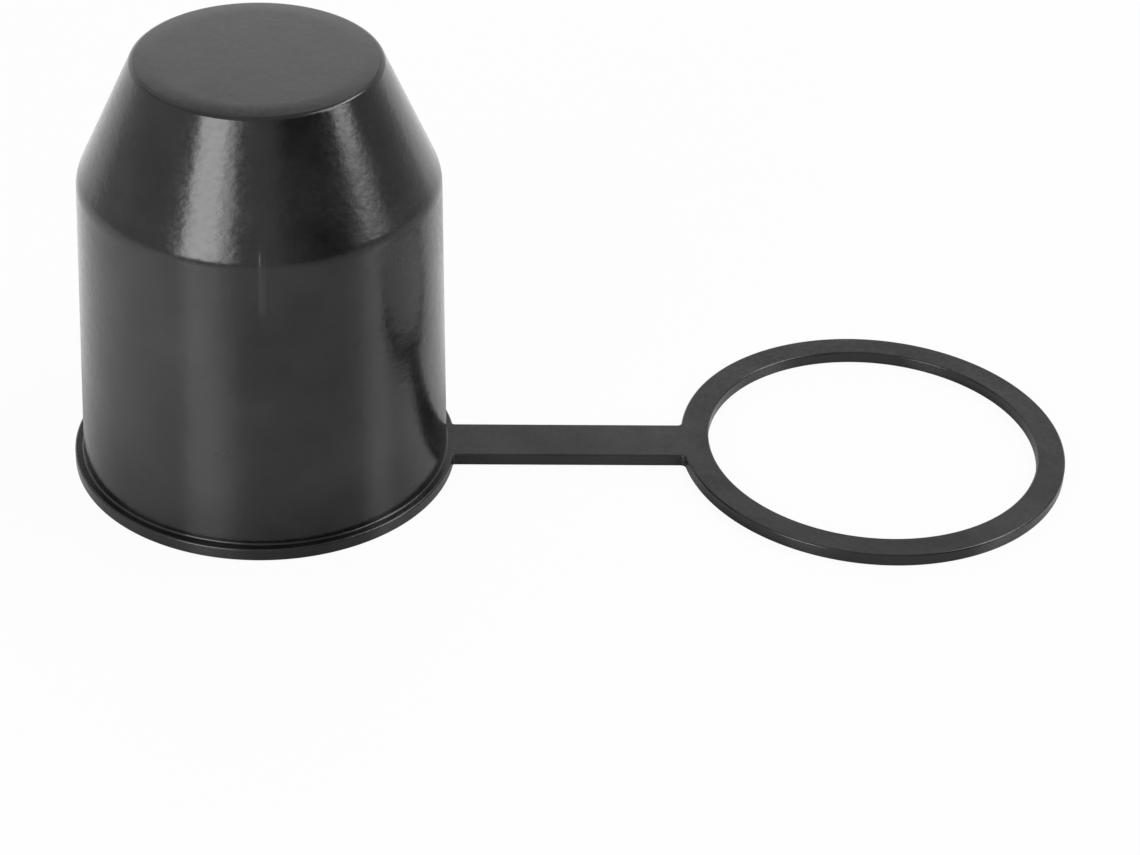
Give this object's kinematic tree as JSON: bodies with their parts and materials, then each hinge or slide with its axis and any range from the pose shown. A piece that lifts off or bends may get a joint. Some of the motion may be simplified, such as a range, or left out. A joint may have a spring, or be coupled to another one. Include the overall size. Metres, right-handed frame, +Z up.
{
  "type": "tow ball cover",
  "caption": "Soft one-piece cap that slips over a 50 mm towing ball, with a drafted round body, conical crown, small lip, flat strap and retaining ring",
  "frame": {"origin": "centre of the towing ball when the cover is on it, on the axis of the cap inside its straight seat", "axes": "+Z up along the cap's axis from the mouth to the roof, +X from the cap along the strap to the ring"},
  "size_m": [0.1591, 0.0622, 0.07],
  "materials": {
    "black_rubber": "satin black, moulded"
  },
  "bodies": {
    "root": {"tow_ball_cover": "black_rubber"}
  },
  "joints": []
}
